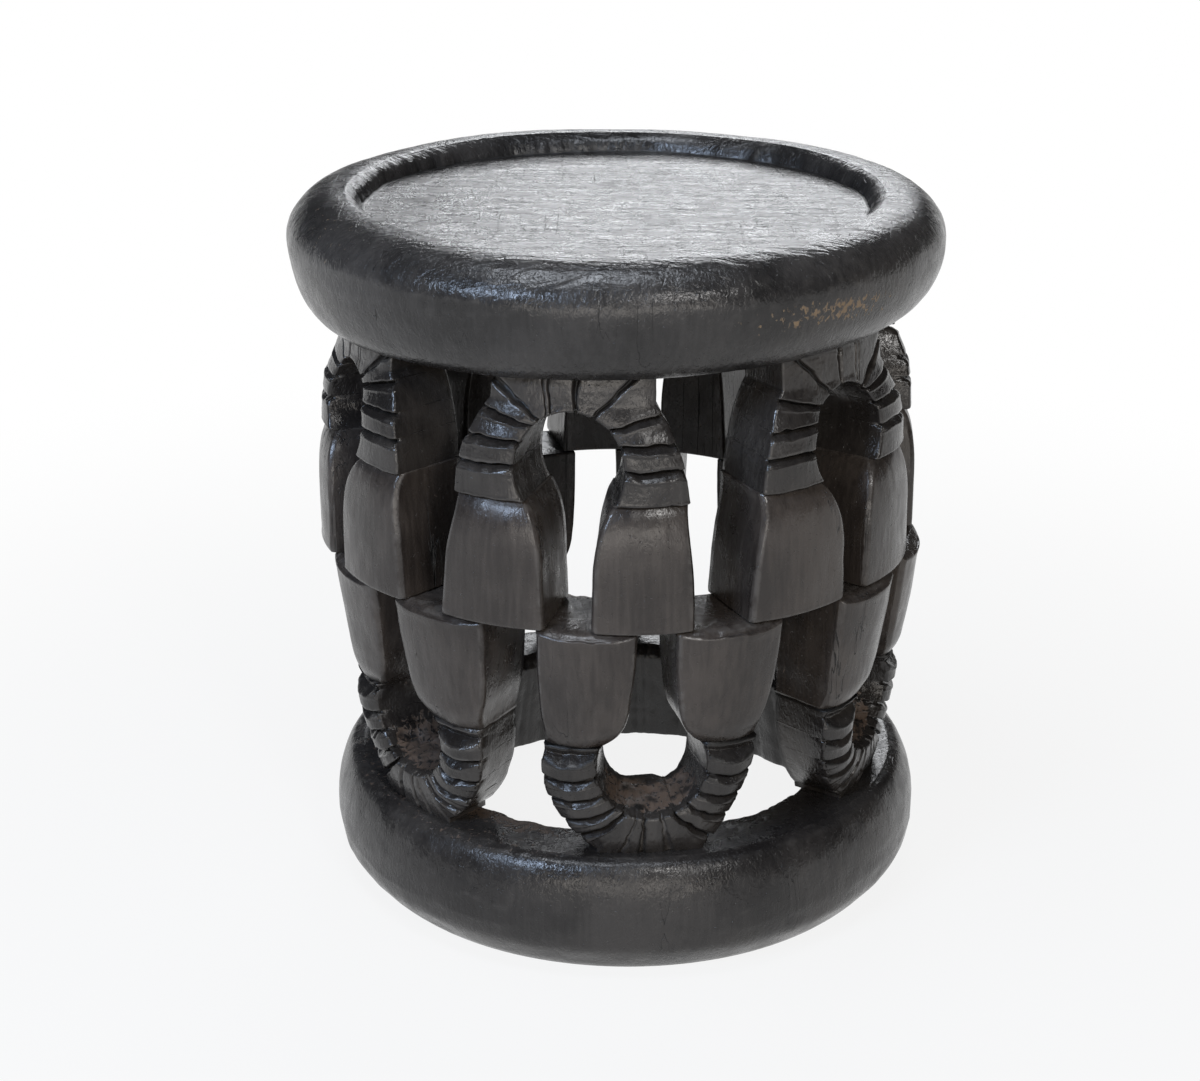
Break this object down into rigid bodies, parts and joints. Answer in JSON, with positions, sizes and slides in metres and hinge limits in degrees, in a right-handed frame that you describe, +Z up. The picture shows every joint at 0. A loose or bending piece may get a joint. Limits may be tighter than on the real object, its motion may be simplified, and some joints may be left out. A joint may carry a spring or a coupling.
{
  "type": "carved african stool table",
  "caption": "Round carved hardwood stool used as a side table: dished seat and foot ring joined by two tiers of bells on ribbed arched handles.",
  "frame": {"origin": "on the floor, under the middle of the seat", "axes": "+Z up out of the seat; the front of the stool, seen in the picture, looks towards -Y; +X is to the right seen from the front"},
  "size_m": [0.435, 0.435, 0.48],
  "materials": {
    "seat_wood": "dark hand-polished hardwood with a worn, glossy patina",
    "ring_wood": "dark hand-polished hardwood with adze marks and scuffs",
    "handle_wood": "dark hand-polished hardwood, carved in ribs",
    "bell_wood": "dark hand-polished hardwood, warm brown where it is thin"
  },
  "bodies": {
    "root": {"seat": "seat_wood", "base_ring": "ring_wood", "upper_gong_1_handle": "handle_wood", "upper_gong_1_left_bell": "bell_wood", "upper_gong_1_right_bell": "bell_wood", "upper_gong_2_handle": "handle_wood", "upper_gong_2_left_bell": "bell_wood", "upper_gong_2_right_bell": "bell_wood", "upper_gong_3_handle": "handle_wood", "upper_gong_3_left_bell": "bell_wood", "upper_gong_3_right_bell": "bell_wood", "upper_gong_4_handle": "handle_wood", "upper_gong_4_left_bell": "bell_wood", "upper_gong_4_right_bell": "bell_wood", "upper_gong_5_handle": "handle_wood", "upper_gong_5_left_bell": "bell_wood", "upper_gong_5_right_bell": "bell_wood", "upper_gong_6_handle": "handle_wood", "upper_gong_6_left_bell": "bell_wood", "upper_gong_6_right_bell": "bell_wood", "lower_gong_1_handle": "handle_wood", "lower_gong_1_left_bell": "bell_wood", "lower_gong_1_right_bell": "bell_wood", "lower_gong_2_handle": "handle_wood", "lower_gong_2_left_bell": "bell_wood", "lower_gong_2_right_bell": "bell_wood", "lower_gong_3_handle": "handle_wood", "lower_gong_3_left_bell": "bell_wood", "lower_gong_3_right_bell": "bell_wood", "lower_gong_4_handle": "handle_wood", "lower_gong_4_left_bell": "bell_wood", "lower_gong_4_right_bell": "bell_wood", "lower_gong_5_handle": "handle_wood", "lower_gong_5_left_bell": "bell_wood", "lower_gong_5_right_bell": "bell_wood", "lower_gong_6_handle": "handle_wood", "lower_gong_6_left_bell": "bell_wood", "lower_gong_6_right_bell": "bell_wood"}
  },
  "joints": []
}
